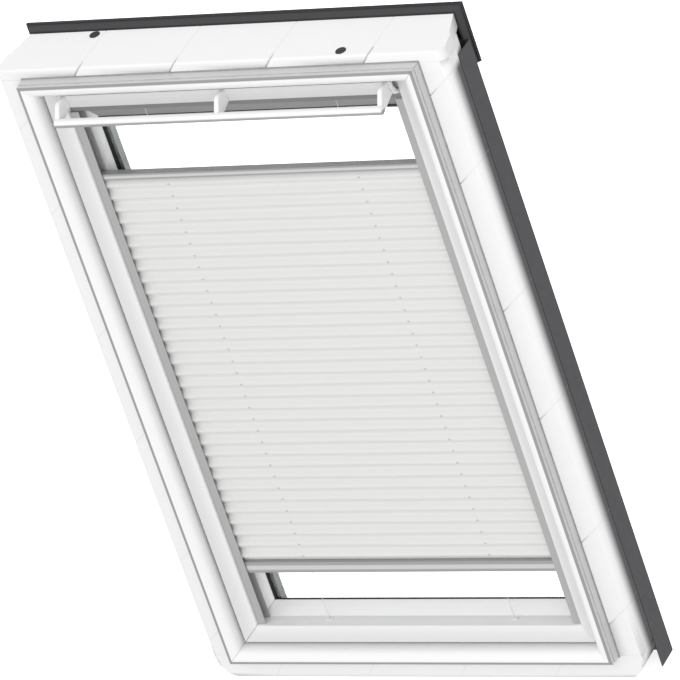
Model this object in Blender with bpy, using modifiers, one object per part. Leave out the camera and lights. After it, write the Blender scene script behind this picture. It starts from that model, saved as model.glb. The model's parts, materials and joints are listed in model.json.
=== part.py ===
"""Centre-pivot skylight window with its insulating collar, outside covers and pleated blind.

Metres, +Z up along the slope of the roof, room on the -Y side. Depth is measured outward
from the room face of the frame, inset inward from the outer edge of the frame.
"""
import math

import bmesh
import bpy
from mathutils import Matrix, Vector

# Overall sizes of the window
FRAME_W = 0.740
FRAME_H = 1.180
FRAME_D = 0.112

# Clearances
FIT = 0.0003
MITRE_GAP = 0.0002
PIN_PLAY = 0.0001
SASH_GAP = 0.0045
SLIDE_PLAY = 0.0005

# Frame bars
BAR_W = 0.027
FACE_ROUND_R = 0.021
FACE_EDGE_R = 0.003
LINING_D = 0.0052
LINING_W = 0.0045
LINING_DEEP = 0.005
SEAL_BACK = 0.018
SEAL_LONG = 0.010
SEAL_T = 0.0018

# Insulating collar
COLLAR_D = 0.0265
COLLAR_SEAT = 0.001
COLLAR_SIDE_T = 0.0515
COLLAR_SILL_T = 0.0487
COLLAR_HEAD_FRONT_T = 0.018
COLLAR_STEP_PLAY = 0.0024
COLLAR_TAPER_T = 0.0434
COLLAR_SHOULDER_R = 0.014
COLLAR_EDGE_R = 0.003
COLLAR_SILL_PLAN_R = 0.080
COLLAR_HEAD_PLAN_R = 0.012
PLUG_R = 0.009
PLUG_T = 0.004
PLUG_PROUD = 0.0008
PLUG_X = (-0.268, 0.229)
PLUG_LIP_GAP = 0.013
PLUG_FRONT_GAP = 0.014

# Outside covers
SHEET_T = 0.0015
COVER_OUT = 0.0429
COVER_SILL_OUT = 0.061
COVER_RISE = 0.015
COVER_LAP = 0.048
COVER_IN = 0.0265
COVER_HEAD_IN = 0.0225
HOOD_OUT = 0.0395
HOOD_TOP = 0.0363
HOOD_LIP_OUT = 0.0264
HOOD_LIP_TOP = 0.0241
HOOD_RISE = 0.021
HOOD_SKIRT = 0.0155
HOOD_IN = 0.077
CARRIER_HALF = 0.320
CARRIER_IN = (0.004, 0.024)

# Sash
SASH_D = 0.0215
WALL_IN = 0.057
WALL_D = 0.036
WALL_BACK_D = 0.064
GLASS_IN = 0.076
REBATE = 0.008
BOTTOM_REBATE = 0.028
HEAD_D = 0.045
HEAD_LEDGE_IN = 0.076
HEAD_GLASS_IN = 0.114
SASH_EDGE_R = 0.0015
SASH_INNER_R = 0.003

# Sealed glass unit
PANE_T = 0.004
PANE_PLAY = 0.0025
GASKET_T = 0.0024
GASKET_LIP = 0.005
BOTTOM_LIP = 0.0008
SPACER_IN = 0.010
BOTTOM_HIDE = 0.0165
BOTTOM_COVER_IN = 0.055
SPACER_OUT = 0.002
SPACER_T = 0.0158
SASH_COVER_RISE = 0.003

# Lock
LOCK_HALF = 0.045
LOCK_D = (0.066, 0.094)
LOCK_DEEP = 0.016
STRIKE_HALF = 0.030
STRIKE_D = (0.070, 0.090)
STRIKE_T = 0.002

# Centre pivots
PIVOT_D = 0.067
FLANGE_R = 0.020
FLANGE_T = 0.003
PIN_R = 0.006
PIN_REACH = 0.014
BUSH_R = 0.009
BUSH_REACH = 0.018

# Vent flap and control bar
FLAP_AXIS_D = 0.041
FLAP_AXIS_IN = 0.060
FLAP_TOP_GAP = 0.0008
FLAP_KNEE_IN = 0.042
FLAP_LOW_IN = 0.058
FLAP_LOW_D = 0.027
FLAP_T = 0.004
FLAP_BARREL_R = 0.0035
FLAP_SIDE_GAP = 0.0013
FLAP_PIN_R = 0.002
FLAP_PIN_DEEP = 0.010
FLAP_PIN_IN = 0.012
BAR_END_GAP = 0.007
BAR_D = (-0.0255, -0.0095)
BAR_IN = (0.0535, 0.0675)
BAR_R = 0.0065
ARM_END = 0.0045
ARM_WIDE = 0.008
ARM_KNEE_D = -0.002
ARM_KNEE_R = 0.012
ARM_LOW_IN = 0.056
ARM_INSET = 0.0005

# Blind
CHANNEL_D = (0.0405, 0.061)
CHANNEL_WIDE = 0.0157
CHANNEL_T = 0.0015
RAIL_D = (0.0437, 0.0583)
RAIL_R = 0.001
TOP_RAIL_DROP = 0.2015
TOP_RAIL_TALL = 0.012
BOTTOM_RAIL_RISE = 0.1635
BOTTOM_RAIL_TALL = 0.0215
SLIDER_TALL = 0.018
SLIDER_WIDE = 0.004
CLOTH_T = 0.0005
CLOTH_D = (0.0455, 0.0568)
PLEATS = 33
CORD_X = 0.179
CORD_D = 0.0562
CORD_R = 0.0005
CORD_HOLE_R = 0.0012
NOTCH_WIDE = 0.003
NOTCH_DEEP = 0.0016
ANCHOR_WIDE = 0.012
ANCHOR_DEEP = 0.0065
ANCHOR_PROUD = 0.0012
ANCHOR_D = (0.052, 0.0602)
ANCHOR_BORE_R = 0.0009

ARC_STEPS = 6
TURN_STEPS = 32
PAST = 0.004
WELD = 0.00001

HALF_W = FRAME_W / 2
SASH_IN = BAR_W + SASH_GAP
STRIP_D = (LINING_D + LINING_W, COLLAR_D - FIT)
ROOM_Y = -sum(STRIP_D) / 2
PIVOT_Z = FRAME_H / 2
REBATE_IN = GLASS_IN - REBATE
BOTTOM_REBATE_IN = GLASS_IN - BOTTOM_REBATE
HEAD_REBATE_IN = HEAD_GLASS_IN - REBATE
PANE_IN = REBATE_IN + PANE_PLAY
BOTTOM_PANE_IN = BOTTOM_REBATE_IN + PANE_PLAY
HEAD_PANE_IN = HEAD_REBATE_IN + PANE_PLAY
SEAL_D = FRAME_D - SEAL_BACK
COVER_BACK_D = FRAME_D + COVER_RISE
COVER_LEG_D = COVER_BACK_D - COVER_LAP
HOOD_BACK_D = COVER_BACK_D + HOOD_RISE
HOOD_LIP_D = HOOD_BACK_D - HOOD_SKIRT
COLLAR_HEAD_BACK_D = HOOD_LIP_D - FIT
PLUG_D = (HOOD_LIP_D - PLUG_LIP_GAP, COLLAR_D + PLUG_FRONT_GAP)
SASH_COVER_D = FRAME_D + SASH_COVER_RISE
OUTER_PANE_D = SASH_COVER_D - FIT - PANE_T
SPACER_D = OUTER_PANE_D - FIT - SPACER_T
INNER_PANE_D = SPACER_D - FIT - PANE_T
GLASS_D = INNER_PANE_D - FIT - GASKET_T - FIT
TOP_RAIL_Z = (FRAME_H - TOP_RAIL_DROP - TOP_RAIL_TALL, FRAME_H - TOP_RAIL_DROP)
BOTTOM_RAIL_Z = (BOTTOM_RAIL_RISE, BOTTOM_RAIL_RISE + BOTTOM_RAIL_TALL)
CHANNEL_IN = WALL_IN + FIT
SLIDER_X = HALF_W - CHANNEL_IN - CHANNEL_T - FIT - SLIDER_WIDE
RAIL_HALF = SLIDER_X - FIT
FLAP_AXIS_Z = FRAME_H - FLAP_AXIS_IN
BAR_HALF = HALF_W - WALL_IN - BAR_END_GAP
ARM_X = BAR_HALF - ARM_END

SIDES = {
    "sill": (FRAME_W, Vector((0.0, ROOM_Y, 0.0)), 0.0, 1),
    "left": (FRAME_H, Vector((-HALF_W, ROOM_Y, FRAME_H / 2)), math.pi / 2, -1),
    "head": (FRAME_W, Vector((0.0, ROOM_Y, FRAME_H)), math.pi, -1),
    "right": (FRAME_H, Vector((HALF_W, ROOM_Y, FRAME_H / 2)), -math.pi / 2, 1),
}
SIGN = {"left": -1, "right": 1}

for old in list(bpy.data.objects):
    bpy.data.objects.remove(old)

PARTS = bpy.data.collections.new("skylight_window_blind")
CUTTERS = bpy.data.collections.new("cutters")
for collection in (PARTS, CUTTERS):
    bpy.context.scene.collection.children.link(collection)


def material(name, colour, roughness, metallic=0.0):
    """Plain material with the colour of one kind of surface."""
    made = bpy.data.materials.new(name)
    made.use_nodes = True
    shader = made.node_tree.nodes["Principled BSDF"]
    shader.inputs["Base Color"].default_value = (*colour, 1.0)
    shader.inputs["Roughness"].default_value = roughness
    shader.inputs["Metallic"].default_value = metallic
    return made


WHITE = material("white_plastic", (0.86, 0.87, 0.88), 0.35)
FOAM = material("white_foam", (0.90, 0.90, 0.90), 0.7)
DARK = material("dark_cover_metal", (0.085, 0.085, 0.095), 0.45, 0.6)
BLACK = material("black_rubber", (0.02, 0.02, 0.02), 0.6)
GREY = material("grey_plastic", (0.45, 0.46, 0.48), 0.5)
ALU = material("white_coated_aluminium", (0.80, 0.81, 0.82), 0.35, 0.3)
STEEL = material("zinc_plated_steel", (0.62, 0.63, 0.65), 0.3, 1.0)
GLASS = material("glass", (0.85, 0.92, 0.92), 0.03)
CLOTH = material("white_cloth", (0.82, 0.82, 0.80), 0.9)
CORD = material("white_cord", (0.80, 0.80, 0.78), 0.8)


def rounded(corners):
    """Outline of (depth, inset, radius) corners, with an arc at each radius."""
    points = []
    for index, (depth, inset, radius) in enumerate(corners):
        here = Vector((depth, inset))
        if radius <= 0.0:
            points.append(here)
            continue
        before = (Vector(corners[index - 1][:2]) - here).normalized()
        after = (Vector(corners[(index + 1) % len(corners)][:2]) - here).normalized()
        half = before.angle(after) / 2
        centre = here + (before + after).normalized() * (radius / math.sin(half))
        start = here + before * (radius / math.tan(half)) - centre
        end = here + after * (radius / math.tan(half)) - centre
        sweep = math.atan2(start.x * end.y - start.y * end.x, start.dot(end))
        for step in range(ARC_STEPS + 1):
            points.append(centre + Matrix.Rotation(sweep * step / ARC_STEPS, 2) @ start)
    return points


def flat(corners):
    """Outline with sharp corners from (depth, inset) pairs."""
    return [Vector(corner) for corner in corners]


def link(name, mesh, look, cutter=False):
    """Object of the mesh, in the parts, or hidden among the cutters."""
    made = bpy.data.objects.new(name, mesh)
    (CUTTERS if cutter else PARTS).objects.link(made)
    made.hide_render = cutter
    if cutter:
        made.display_type = "WIRE"
    else:
        mesh.materials.clear()
        mesh.materials.append(look)
    return made


def face_outward(shape):
    """Turns the faces of a closed body outward."""
    bmesh.ops.recalc_face_normals(shape, faces=shape.faces)
    if shape.calc_volume(signed=True) < 0.0:
        bmesh.ops.reverse_faces(shape, faces=shape.faces)


def prism(name, loops, half, look, cutter=False):
    """Outlines in local Y and Z, run along local X from -half to half."""
    curve = bpy.data.curves.new(name, "CURVE")
    curve.dimensions = "2D"
    curve.fill_mode = "BOTH"
    curve.extrude = half
    for loop in loops:
        spline = curve.splines.new("POLY")
        spline.points.add(len(loop) - 1)
        for point, corner in zip(spline.points, loop):
            point.co = (corner[0], corner[1], 0.0, 1.0)
        spline.use_cyclic_u = True
    drawn = bpy.data.objects.new(name, curve)
    bpy.context.scene.collection.objects.link(drawn)
    graph = bpy.context.evaluated_depsgraph_get()
    mesh = bpy.data.meshes.new_from_object(drawn.evaluated_get(graph))
    mesh.name = name
    bpy.data.objects.remove(drawn)
    shape = bmesh.new()
    shape.from_mesh(mesh)
    bmesh.ops.remove_doubles(shape, verts=shape.verts, dist=WELD)
    for vert in shape.verts:
        vert.co = Vector((vert.co.z, vert.co.x, vert.co.y))
    face_outward(shape)
    shape.to_mesh(mesh)
    shape.free()
    return link(name, mesh, look, cutter)


def side_bar(name, side, outline, look, ends=(None, None), cutter=False):
    """Bar along one side of the frame. An end is mitred, or cut square at an inset.

    The ends are the left and right one, or the lower and upper one.
    """
    length, place, angle, along = SIDES[side]
    bar = prism(name, [outline], length / 2, look, cutter)
    for vert in bar.data.vertices:
        sign = math.copysign(1.0, vert.co.x)
        inset = ends[1 if sign * along > 0 else 0]
        if inset is None:
            inset = vert.co.z + MITRE_GAP
        vert.co.x = sign * (length / 2 - inset)
    bar.location = place
    bar.rotation_euler.y = angle
    return bar


def box(name, across, depth, height, look, cutter=False):
    """Box between two places on each axis, with depth counted from the room face."""
    mesh = bpy.data.meshes.new(name)
    low = Vector((across[0], ROOM_Y + depth[0], height[0]))
    high = Vector((across[1], ROOM_Y + depth[1], height[1]))
    shape = bmesh.new()
    bmesh.ops.create_cube(shape, size=1.0, matrix=Matrix.Diagonal((*(high - low), 1.0)))
    shape.to_mesh(mesh)
    shape.free()
    made = link(name, mesh, look, cutter)
    made.location = (low + high) / 2
    return made


def turned(name, profile, place, turn, look, closed=False, cutter=False):
    """Turned piece from a profile of (radius, height) pairs, which runs top to bottom."""
    mesh = bpy.data.meshes.new(name)
    shape = bmesh.new()
    verts = [shape.verts.new((radius, 0.0, height)) for radius, height in profile]
    for first, second in zip(verts, verts[1:]):
        shape.edges.new((first, second))
    if closed:
        shape.edges.new((verts[-1], verts[0]))
    shape.to_mesh(mesh)
    shape.free()
    made = link(name, mesh, look, cutter)
    made.location = place
    made.rotation_euler = turn
    screw = made.modifiers.new("turn", "SCREW")
    screw.steps = TURN_STEPS
    screw.render_steps = TURN_STEPS
    screw.use_merge_vertices = True
    screw.merge_threshold = WELD
    screw.use_smooth_shade = True
    return made


def rod(name, radius, long, place, turn, look, cutter=False):
    """Solid round rod, centred on its place, along local Z."""
    profile = [(0.0, long / 2), (radius, long / 2), (radius, -long / 2), (0.0, -long / 2)]
    return turned(name, profile, place, turn, look, False, cutter)


def cut(target, cutter, operation="DIFFERENCE"):
    """Exact Boolean of one cutter on the target."""
    boolean = target.modifiers.new(cutter.name, "BOOLEAN")
    boolean.operation = operation
    boolean.object = cutter
    return boolean


def axis(name, place, carried):
    """Empty on a joint's axis, which carries the pieces of its body."""
    empty = bpy.data.objects.new(name, None)
    empty.location = place
    empty.empty_display_size = PIVOT_D
    PARTS.objects.link(empty)
    for piece in carried:
        piece.parent = empty
        piece.matrix_parent_inverse = Matrix.Translation(-Vector(place))
    return empty


def frame_bars():
    """Four mitred bars, rounded toward the sash, with a lining groove and a seat for the collar."""
    groove_end, strip_end = STRIP_D
    outline = rounded((
        (0.0, 0.0, FACE_EDGE_R),
        (0.0, BAR_W, FACE_ROUND_R),
        (FRAME_D, BAR_W, 0.0),
        (FRAME_D, COLLAR_SEAT, 0.0),
        (strip_end, COLLAR_SEAT, 0.0),
        (strip_end, 0.0, 0.0),
        (groove_end, 0.0, 0.0),
        (groove_end, LINING_DEEP, 0.0),
        (LINING_D, LINING_DEEP, 0.0),
        (LINING_D, 0.0, 0.0),
    ))
    names = {"head": "frame_head", "sill": "frame_sill",
             "left": "frame_jamb_left", "right": "frame_jamb_right"}
    return {side: side_bar(name, side, outline, WHITE) for side, name in names.items()}


def frame_seal():
    """Rubber strips round the inside of the frame, ahead of the outside edge."""
    outer = frame_loop(*[BAR_W + FIT] * 3)
    inner = frame_loop(*[BAR_W + FIT + SEAL_T] * 3)
    return ring("frame_seal", outer, inner, SEAL_D, SEAL_LONG, BLACK)


def frame_loop(side, head, sill):
    """Rectangle in the window's plane at insets from the frame's outer edges."""
    half = HALF_W - side
    top = FRAME_H - head
    return [Vector((-half, sill)), Vector((half, sill)), Vector((half, top)), Vector((-half, top))]


def ring(name, outer, inner, depth, thick, look):
    """Flat ring between two rectangles of the window's plane."""
    made = prism(name, [outer, inner], thick / 2, look)
    for vert in made.data.vertices:
        vert.co = Vector((vert.co.y, vert.co.x, vert.co.z))
    shape = bmesh.new()
    shape.from_mesh(made.data)
    face_outward(shape)
    shape.to_mesh(made.data)
    shape.free()
    made.location.y = ROOM_Y + depth + thick / 2
    return made


def collar_head_slope():
    """Rise of the head collar's top for each metre of depth."""
    return (HOOD_LIP_TOP - COLLAR_HEAD_FRONT_T) / (COLLAR_HEAD_BACK_D - COLLAR_D)


def collar():
    """Four foam pieces, cut out of one outline that is rounded in plan and along its edges."""
    step_d = COVER_LEG_D - COLLAR_STEP_PLAY
    back_t = COVER_OUT - SHEET_T - FIT
    sill_t = COVER_SILL_OUT - SHEET_T - FIT
    wide = HALF_W + COLLAR_SIDE_T
    side_line = [
        (COLLAR_D, wide, COLLAR_SHOULDER_R),
        (step_d, HALF_W + COLLAR_TAPER_T, 0.0),
        (step_d, HALF_W + back_t, 0.0),
        (COLLAR_HEAD_BACK_D, HALF_W + HOOD_LIP_OUT, 0.0),
    ]
    across = side_line + [(depth, -out, radius) for depth, out, radius in reversed(side_line)]
    along = (
        (COLLAR_D, -COLLAR_SILL_T, COLLAR_SHOULDER_R),
        (COLLAR_D, FRAME_H + COLLAR_HEAD_FRONT_T, COLLAR_EDGE_R),
        (COLLAR_HEAD_BACK_D, FRAME_H + HOOD_LIP_TOP, 0.0),
        (COLLAR_HEAD_BACK_D, -sill_t, 0.0),
        (step_d, -sill_t, 0.0),
    )
    plan = (
        (-wide, -sill_t, COLLAR_SILL_PLAN_R),
        (wide, -sill_t, COLLAR_SILL_PLAN_R),
        (wide, FRAME_H + HOOD_LIP_TOP, COLLAR_HEAD_PLAN_R),
        (-wide, FRAME_H + HOOD_LIP_TOP, COLLAR_HEAD_PLAN_R),
    )
    across_cutter = prism("collar_across", [rounded(across)], FRAME_H, None, True)
    across_cutter.rotation_euler.y = -math.pi / 2
    across_cutter.location = (0.0, ROOM_Y, FRAME_H / 2)
    along_cutter = prism("collar_along", [rounded(along)], FRAME_W, None, True)
    along_cutter.location.y = ROOM_Y
    plan_cutter = prism("collar_plan", [rounded(plan)], FRAME_D, None, True)
    plan_cutter.rotation_euler.z = math.pi / 2
    room = wide + PAST
    seat_x = HALF_W - COLLAR_SEAT + FIT
    side_z = (COLLAR_SEAT, FRAME_H - COLLAR_SEAT)
    head_z = (side_z[1] + FIT, FRAME_H + HOOD_LIP_TOP + PAST)
    sill_z = (-sill_t - PAST, side_z[0] - FIT)
    pieces = {
        "head": box("collar_head", (-room, room), (0.0, COLLAR_HEAD_BACK_D), head_z, FOAM),
        "sill": box("collar_sill", (-room, room), (0.0, FRAME_D), sill_z, FOAM),
        "left": box("collar_left", (-room, -seat_x), (0.0, FRAME_D), side_z, FOAM),
        "right": box("collar_right", (seat_x, room), (0.0, FRAME_D), side_z, FOAM),
    }
    for piece in pieces.values():
        for cutter in (across_cutter, along_cutter, plan_cutter):
            cut(piece, cutter, "INTERSECT")
    return pieces


def collar_plugs(head):
    """Two black plugs pressed into the sloped top of the head collar."""
    tilt = math.atan(collar_head_slope())
    turn = (tilt, 0.0, 0.0)
    lift = Matrix.Rotation(tilt, 3, "X") @ Vector((0.0, 0.0, PLUG_PROUD - PLUG_T / 2))
    for name, x, depth in zip(SIGN, PLUG_X, PLUG_D):
        rise = FRAME_H + COLLAR_HEAD_FRONT_T + collar_head_slope() * (depth - COLLAR_D)
        place = Vector((x, ROOM_Y + depth, rise))
        rod(f"collar_plug_{name}", PLUG_R, PLUG_T, place + lift, turn, BLACK)
        hole_long = (PLUG_T - PLUG_PROUD + FIT) * 2
        cut(head, rod(f"plug_hole_{name}", PLUG_R + FIT, hole_long, place, turn, None, True))


def frame_covers():
    """Bent metal covers over the jambs and the sill, with a leg on each edge."""
    inner_leg_d = FRAME_D + FIT
    web_d = COVER_BACK_D - SHEET_T

    def section(out):
        return flat((
            (COVER_LEG_D, -out),
            (COVER_BACK_D, -out),
            (COVER_BACK_D, COVER_IN),
            (inner_leg_d, COVER_IN),
            (inner_leg_d, COVER_IN - SHEET_T),
            (web_d, COVER_IN - SHEET_T),
            (web_d, -out + SHEET_T),
            (COVER_LEG_D, -out + SHEET_T),
        ))

    ends = (-COVER_SILL_OUT, COVER_HEAD_IN)
    side_bar("side_cover_left", "left", section(COVER_OUT), DARK, ends)
    side_bar("side_cover_right", "right", section(COVER_OUT), DARK, ends)
    side_bar("sill_cover", "sill", section(COVER_SILL_OUT), DARK, (COVER_IN + FIT, COVER_IN + FIT))


def tapered(name, near, far, look, cutter=False):
    """Solid between two upright rectangles, each a depth, a half width, a low and a high height."""
    shape = bmesh.new()
    for depth, half, low, high in (near, far):
        for x in (-half, half):
            for z in (low, high):
                shape.verts.new((x, ROOM_Y + depth, z))
    bmesh.ops.convex_hull(shape, input=shape.verts)
    bmesh.ops.dissolve_limit(shape, angle_limit=WELD, verts=shape.verts, edges=shape.edges)
    mesh = bpy.data.meshes.new(name)
    shape.to_mesh(mesh)
    shape.free()
    return link(name, mesh, look, cutter)


def hood():
    """Hood over the head: a lid with a splayed skirt, and the rail that carries it."""
    web_d = HOOD_BACK_D - SHEET_T
    low = FRAME_H - HOOD_IN
    lip = (HOOD_LIP_D, HALF_W + HOOD_LIP_OUT, low, FRAME_H + HOOD_LIP_TOP)
    back = (HOOD_BACK_D, HALF_W + HOOD_OUT, low, FRAME_H + HOOD_TOP)
    lid = tapered("hood", lip, back, DARK)
    spread = (HOOD_OUT - HOOD_LIP_OUT) / HOOD_SKIRT
    rise = (HOOD_TOP - HOOD_LIP_TOP) / HOOD_SKIRT

    def hollow(depth):
        run = depth - HOOD_LIP_D
        half = HALF_W + HOOD_LIP_OUT + spread * run - SHEET_T
        return depth, half, low + SHEET_T, FRAME_H + HOOD_LIP_TOP + rise * run - SHEET_T

    cut(lid, tapered("hood_hollow", hollow(HOOD_LIP_D - PAST), hollow(web_d), None, True))
    height = (FRAME_H - CARRIER_IN[1], FRAME_H - CARRIER_IN[0])
    box("hood_carrier", (-CARRIER_HALF, CARRIER_HALF), (FRAME_D + FIT, web_d - FIT), height, GREY)


def stile_outline(rebate_in):
    """Section of the stiles and of the sash bottom, with a rebate from the given inset."""
    return rounded((
        (SASH_D, SASH_IN, SASH_EDGE_R),
        (WALL_D, WALL_IN, SASH_INNER_R),
        (WALL_BACK_D, WALL_IN, SASH_INNER_R),
        (GLASS_D, GLASS_IN, 0.0),
        (GLASS_D, rebate_in, 0.0),
        (FRAME_D, rebate_in, 0.0),
        (FRAME_D, SASH_IN, 0.0),
    ))


def sash_bars():
    """Mitred stiles and bottom, and a head that is coped between the stiles."""
    stile = stile_outline(REBATE_IN)
    bars = {
        "bottom": side_bar("sash_bottom", "sill", stile_outline(BOTTOM_REBATE_IN), WHITE),
        "left": side_bar("sash_stile_left", "left", stile, WHITE, (None, SASH_IN)),
        "right": side_bar("sash_stile_right", "right", stile, WHITE, (None, SASH_IN)),
    }
    head = flat((
        (HEAD_D, SASH_IN),
        (HEAD_D, HEAD_LEDGE_IN),
        (WALL_BACK_D, HEAD_LEDGE_IN),
        (GLASS_D, HEAD_GLASS_IN),
        (GLASS_D, HEAD_REBATE_IN),
        (FRAME_D, HEAD_REBATE_IN),
        (FRAME_D, SASH_IN),
    ))
    bars["head"] = side_bar("sash_head", "head", head, WHITE, (SASH_IN, SASH_IN))
    cope = flat((
        (HEAD_D - PAST, SASH_IN - PAST),
        (HEAD_D - PAST, WALL_IN + FIT),
        (WALL_BACK_D, WALL_IN + FIT),
        (GLASS_D, GLASS_IN + FIT),
        (GLASS_D + FIT, GLASS_IN + FIT),
        (GLASS_D + FIT, REBATE_IN + FIT),
        (FRAME_D + PAST, REBATE_IN + FIT),
        (FRAME_D + PAST, SASH_IN - PAST),
    ))
    for side in ("left", "right"):
        cutter = side_bar(f"cope_{side}", side, cope, None, (PIVOT_Z, 0.0), True)
        cut(bars["head"], cutter)
    return bars


def lock(sash_head, frame_head):
    """Lock case in the sash head and its keep in the frame head."""
    top = FRAME_H - SASH_IN
    pocket = box("lock_pocket", (-LOCK_HALF - FIT, LOCK_HALF + FIT),
                 (LOCK_D[0] - FIT, LOCK_D[1] + FIT), (top - LOCK_DEEP - FIT, top + PAST), None, True)
    cut(sash_head, pocket)
    case = box("lock_case", (-LOCK_HALF, LOCK_HALF), LOCK_D, (top - LOCK_DEEP, top - FIT), STEEL)
    low = FRAME_H - BAR_W
    pocket = box("strike_pocket", (-STRIKE_HALF - FIT, STRIKE_HALF + FIT),
                 (STRIKE_D[0] - FIT, STRIKE_D[1] + FIT), (low - PAST, low + STRIKE_T + FIT), None, True)
    cut(frame_head, pocket)
    box("strike_plate", (-STRIKE_HALF, STRIKE_HALF), STRIKE_D, (low, low + STRIKE_T), STEEL)
    return case


def pivots(jambs, stiles):
    """Flanged pins in the stiles that turn in flanged bushes in the jambs."""
    pins = []
    bore = PIN_R + PIN_PLAY
    bush_profile = [
        (FLANGE_R, 0.0), (FLANGE_R, -FLANGE_T), (BUSH_R, -FLANGE_T), (BUSH_R, -BUSH_REACH),
        (bore, -BUSH_REACH), (bore, 0.0),
    ]
    pin_profile = [(0.0, PIN_REACH + SASH_GAP), (PIN_R, PIN_REACH + SASH_GAP), (PIN_R, -FIT),
                   (FLANGE_R, -FIT), (FLANGE_R, -FLANGE_T), (0.0, -FLANGE_T)]
    bush_hole = [
        (0.0, PAST), (FLANGE_R + FIT, PAST), (FLANGE_R + FIT, -FLANGE_T - FIT),
        (BUSH_R + FIT, -FLANGE_T - FIT), (BUSH_R + FIT, -BUSH_REACH - FIT), (0.0, -BUSH_REACH - FIT),
    ]
    pin_hole = [(0.0, PAST), (FLANGE_R + FIT, PAST), (FLANGE_R + FIT, -FLANGE_T - FIT),
                (0.0, -FLANGE_T - FIT)]
    for side, sign in SIGN.items():
        jamb_face = Vector((sign * (HALF_W - BAR_W), ROOM_Y + PIVOT_D, PIVOT_Z))
        stile_face = Vector((sign * (HALF_W - SASH_IN), ROOM_Y + PIVOT_D, PIVOT_Z))
        inward = (0.0, -sign * math.pi / 2, 0.0)
        outward = (0.0, sign * math.pi / 2, 0.0)
        turned(f"pivot_bush_{side}", bush_profile, jamb_face, inward, GREY, closed=True)
        hole = turned(f"bush_hole_{side}", bush_hole, jamb_face, inward, None, cutter=True)
        cut(jambs[side], hole)
        pins.append(turned(f"pivot_pin_{side}", pin_profile, stile_face, outward, STEEL))
        hole = turned(f"pin_hole_{side}", pin_hole, stile_face, outward, None, cutter=True)
        cut(stiles[side], hole)
    return pins


def glass_unit():
    """Two panes with a spacer between them, on a gasket. The bottom bar hides its lower run."""
    half = HALF_W - PANE_IN
    height = (BOTTOM_PANE_IN, FRAME_H - HEAD_PANE_IN)
    inner = box("inner_pane", (-half, half), (INNER_PANE_D, INNER_PANE_D + PANE_T), height, GLASS)
    outer = box("outer_pane", (-half, half), (OUTER_PANE_D, OUTER_PANE_D + PANE_T), height, GLASS)
    spacer = ring("spacer_bar",
                  frame_loop(PANE_IN + SPACER_OUT, HEAD_PANE_IN + SPACER_OUT, BOTTOM_PANE_IN + SPACER_OUT),
                  frame_loop(GLASS_IN + SPACER_IN, HEAD_GLASS_IN + SPACER_IN, GLASS_IN - BOTTOM_HIDE),
                  SPACER_D, SPACER_T, GREY)
    gasket = ring("glazing_gasket",
                  frame_loop(REBATE_IN + FIT, HEAD_REBATE_IN + FIT, BOTTOM_REBATE_IN + FIT),
                  frame_loop(GLASS_IN + GASKET_LIP, HEAD_GLASS_IN + GASKET_LIP, GLASS_IN + BOTTOM_LIP),
                  GLASS_D + FIT, GASKET_T, BLACK)
    return [inner, outer, spacer, gasket]


def sash_covers():
    """Angled metal covers that hold the glass unit from outside."""
    leg_d = FRAME_D + FIT
    web_back = SASH_COVER_D + SHEET_T
    edge = SASH_IN + FIT

    def angle_outline(web_in):
        return flat((
            (leg_d, edge), (web_back, edge), (web_back, web_in), (SASH_COVER_D, web_in),
            (SASH_COVER_D, edge + SHEET_T), (leg_d, edge + SHEET_T),
        ))

    between = GLASS_IN + FIT
    return [
        side_bar("sash_cover_bottom", "sill", angle_outline(BOTTOM_COVER_IN), DARK),
        side_bar("sash_cover_left", "left", angle_outline(GLASS_IN), DARK, (None, edge)),
        side_bar("sash_cover_right", "right", angle_outline(GLASS_IN), DARK, (None, edge)),
        side_bar("sash_cover_head", "head", angle_outline(HEAD_GLASS_IN), DARK, (between, between)),
    ]


def vent_flap(stiles):
    """Flap at the head of the sash, hinged along its lower edge on two short pins."""
    top_in = SASH_IN + FLAP_TOP_GAP
    slope = (FLAP_LOW_D - SASH_D) / (FLAP_LOW_IN - FLAP_KNEE_IN)
    barrel = [
        (FLAP_AXIS_D + FLAP_BARREL_R * math.cos(turn), FLAP_AXIS_IN + FLAP_BARREL_R * math.sin(turn))
        for turn in [math.pi / 2 - math.pi * step / ARC_STEPS for step in range(ARC_STEPS + 1)]
    ]
    inner_in = FLAP_AXIS_IN - FLAP_BARREL_R
    knee_d = SASH_D + FLAP_T
    inner_knee_d = SASH_D + FLAP_T + slope * (inner_in - FLAP_KNEE_IN)
    outline = flat(
        [(SASH_D, top_in), (SASH_D, FLAP_KNEE_IN), (FLAP_LOW_D, FLAP_LOW_IN)]
        + [(FLAP_AXIS_D - FLAP_BARREL_R, FLAP_AXIS_IN + FLAP_BARREL_R)] + barrel
        + [(inner_knee_d + FLAP_T, inner_in), (knee_d, FLAP_KNEE_IN), (knee_d, top_in)]
    )
    half = HALF_W - WALL_IN - FLAP_SIDE_GAP
    reach = HALF_W - half
    flap = side_bar("vent_flap", "head", outline, WHITE, (reach, reach))
    at = Vector((0.0, ROOM_Y + FLAP_AXIS_D, FLAP_AXIS_Z))
    sideways = (0.0, math.pi / 2, 0.0)
    inner_x = half - FLAP_PIN_IN
    outer_x = HALF_W - WALL_IN + FLAP_PIN_DEEP
    pieces = [flap]
    for side, sign in SIGN.items():
        place = Vector((sign * (inner_x + outer_x) / 2, at.y, at.z))
        long = outer_x - inner_x
        pieces.append(rod(f"flap_pin_{side}", FLAP_PIN_R, long, place, sideways, STEEL))
        hole = rod(f"flap_bore_{side}", FLAP_PIN_R + PIN_PLAY, long + FIT * 2, place, sideways, None, True)
        cut(flap, hole)
        cut(stiles[side], hole)
    return pieces


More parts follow.
